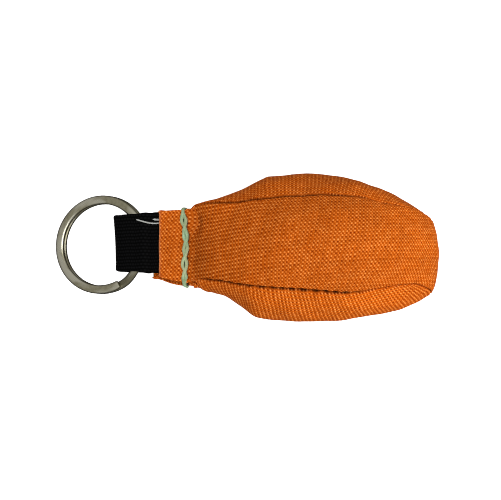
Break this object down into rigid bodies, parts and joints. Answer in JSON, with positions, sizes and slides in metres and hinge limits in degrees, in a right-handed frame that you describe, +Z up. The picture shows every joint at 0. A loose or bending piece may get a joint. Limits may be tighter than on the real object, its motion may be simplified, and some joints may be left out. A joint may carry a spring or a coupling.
{
  "type": "throw weight",
  "caption": "Shot-filled orange cloth throw weight for a line: a rounded sewn bag with a stitched flat neck, a black webbing loop and a steel split ring.",
  "frame": {"origin": "centre of the object's footprint box, on the surface the bag lies on", "axes": "+X runs along the object from the split ring to the blunt tail, +Z is up from the resting face, +Y is across the bag to the left when facing the tail"},
  "size_m": [0.1234, 0.0469, 0.0411],
  "materials": {
    "orange_cloth": "matt plain-weave coated polyester, 1.2 mm thread pitch",
    "steel_shot": "packed round shot, dull grey",
    "orange_thread": "bonded nylon sewing thread",
    "pale_thread": "heavy twisted polyester thread, pale sea green",
    "black_webbing": "flat woven nylon webbing, matt",
    "nickel_steel": "satin nickel plate on spring steel wire"
  },
  "bodies": {
    "bag": {"wrap_panel": "orange_cloth", "left_gusset": "orange_cloth", "right_gusset": "orange_cloth", "shot_fill": "steel_shot", "left_seam_thread": "orange_thread", "right_seam_thread": "orange_thread"},
    "neck": {"neck_upper_ply": "orange_cloth", "neck_lower_ply": "orange_cloth", "closing_stitch": "pale_thread"},
    "loop": {"webbing_loop": "black_webbing"},
    "ring": {"split_ring": "nickel_steel"}
  },
  "joints": [
    {"name": "neck_flex", "type": "hinge", "parent": "bag", "child": "neck", "pos_m": [-0.01525, 0, 0.0182], "axis": [0, 1, 0], "range_deg": [-35, 55], "stiffness_Nm_per_rad": 0.05},
    {"name": "loop_flex", "type": "hinge", "parent": "neck", "child": "loop", "pos_m": [-0.02671, 0, 0.01403], "axis": [0, 1, 0], "range_deg": [-70, 70], "stiffness_Nm_per_rad": 0.02, "deforming": ["webbing_loop"]},
    {"name": "ring_spin", "type": "hinge", "parent": "loop", "child": "ring", "pos_m": [-0.04645, 0.00222, 0.00685], "axis": [-0.342, 0, 0.9397], "continuous": true}
  ]
}
